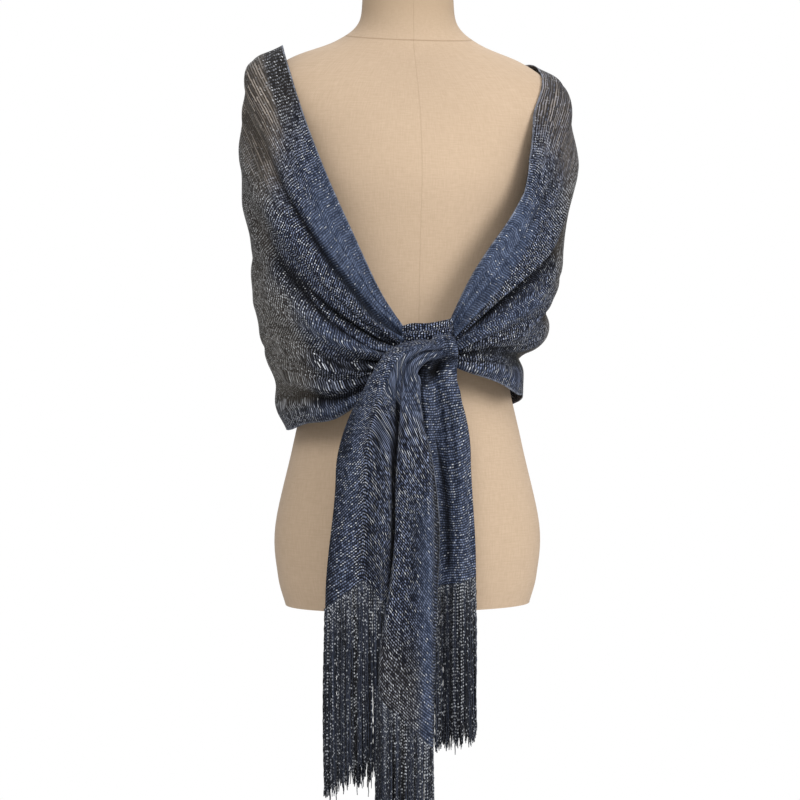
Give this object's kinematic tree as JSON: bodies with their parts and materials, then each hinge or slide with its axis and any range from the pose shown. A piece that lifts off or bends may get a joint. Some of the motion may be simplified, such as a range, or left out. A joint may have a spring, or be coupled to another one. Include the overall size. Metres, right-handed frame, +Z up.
{
  "type": "evening stole on a dress form",
  "caption": "Navy metallic knit stole with fringed ends, worn over the shoulders of a limbless linen dress form and tied in a half knot at the waist.",
  "frame": {"origin": "on the floor, in the middle of the stand's round base, on the pole's axis", "axes": "+Z up the pole, -Y out of the form's front, +X to the right as seen from the front"},
  "size_m": [0.44, 0.44, 1.5463],
  "materials": {
    "metallic_knit": "navy viscose and silver lurex yarn, open plain knit, sparkling",
    "fringe_yarn": "navy yarn with silver lurex, crinkled strands",
    "linen": "natural linen, plain weave, matt",
    "beech": "turned beech, satin oil",
    "enamelled_steel": "black stove enamel, satin"
  },
  "bodies": {
    "root": {"form_torso": "linen", "form_neck_cap": "beech", "form_pole": "enamelled_steel", "form_base": "enamelled_steel", "wrap": "metallic_knit", "knot_core": "metallic_knit", "knot_turn": "metallic_knit", "tail_front": "metallic_knit", "tail_rear": "metallic_knit", "fringe_front": "fringe_yarn", "fringe_rear": "fringe_yarn"}
  },
  "joints": []
}
